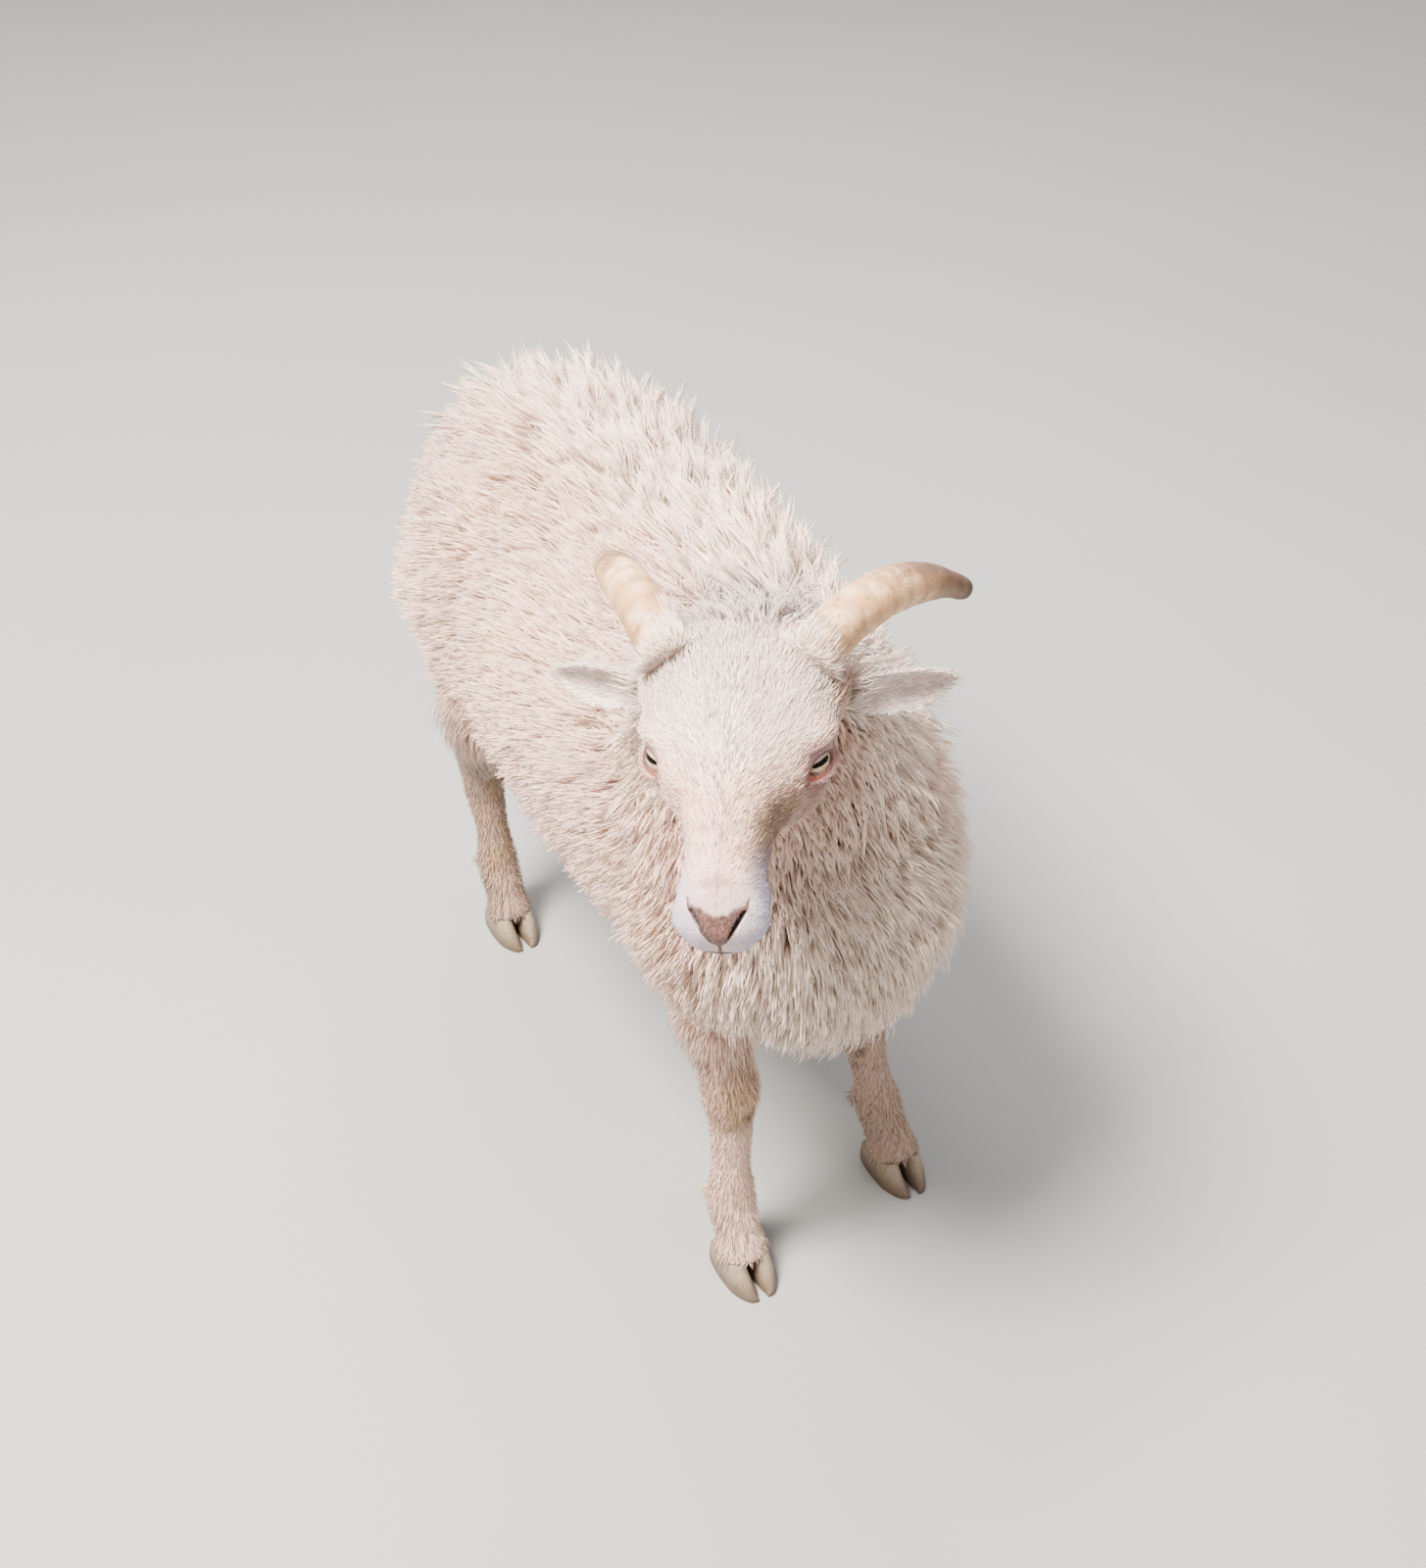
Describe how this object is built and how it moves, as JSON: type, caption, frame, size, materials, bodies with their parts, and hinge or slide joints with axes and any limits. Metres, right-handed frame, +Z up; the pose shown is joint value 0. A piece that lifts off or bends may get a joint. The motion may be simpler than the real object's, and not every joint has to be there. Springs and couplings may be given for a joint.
{
  "type": "ouessant sheep",
  "caption": "Life-size still model of a young white horned ram of the small Ouessant breed, standing with its head turned and looking up.",
  "frame": {"origin": "under the middle of the model's box, at floor level", "axes": "+Z up; the animal's body faces -Y and its left side is +X; its head is turned about 36 degrees to its right"},
  "size_m": [0.315, 0.7126, 0.5513],
  "materials": {
    "wool": "matt cream fleece",
    "face_hair": "short matt white hair over pink skin",
    "leg_hair": "short matt cream hair with tan stains",
    "horn": "satin tan horn with dark specks",
    "claw": "satin pale horn",
    "eye": "wet pale amber"
  },
  "bodies": {
    "root": {"torso": "wool", "neck": "wool", "tail": "wool", "head": "face_hair", "ear_left": "face_hair", "ear_right": "face_hair", "eye_left": "eye", "eye_right": "eye", "horn_left": "horn", "horn_right": "horn", "foreleg_left": "leg_hair", "foreleg_right": "leg_hair", "hindleg_left": "leg_hair", "hindleg_right": "leg_hair", "claw_foreleg_left_inner": "claw", "claw_foreleg_left_outer": "claw", "claw_foreleg_right_inner": "claw", "claw_foreleg_right_outer": "claw", "claw_hindleg_left_inner": "claw", "claw_hindleg_left_outer": "claw", "claw_hindleg_right_inner": "claw", "claw_hindleg_right_outer": "claw"}
  },
  "joints": []
}
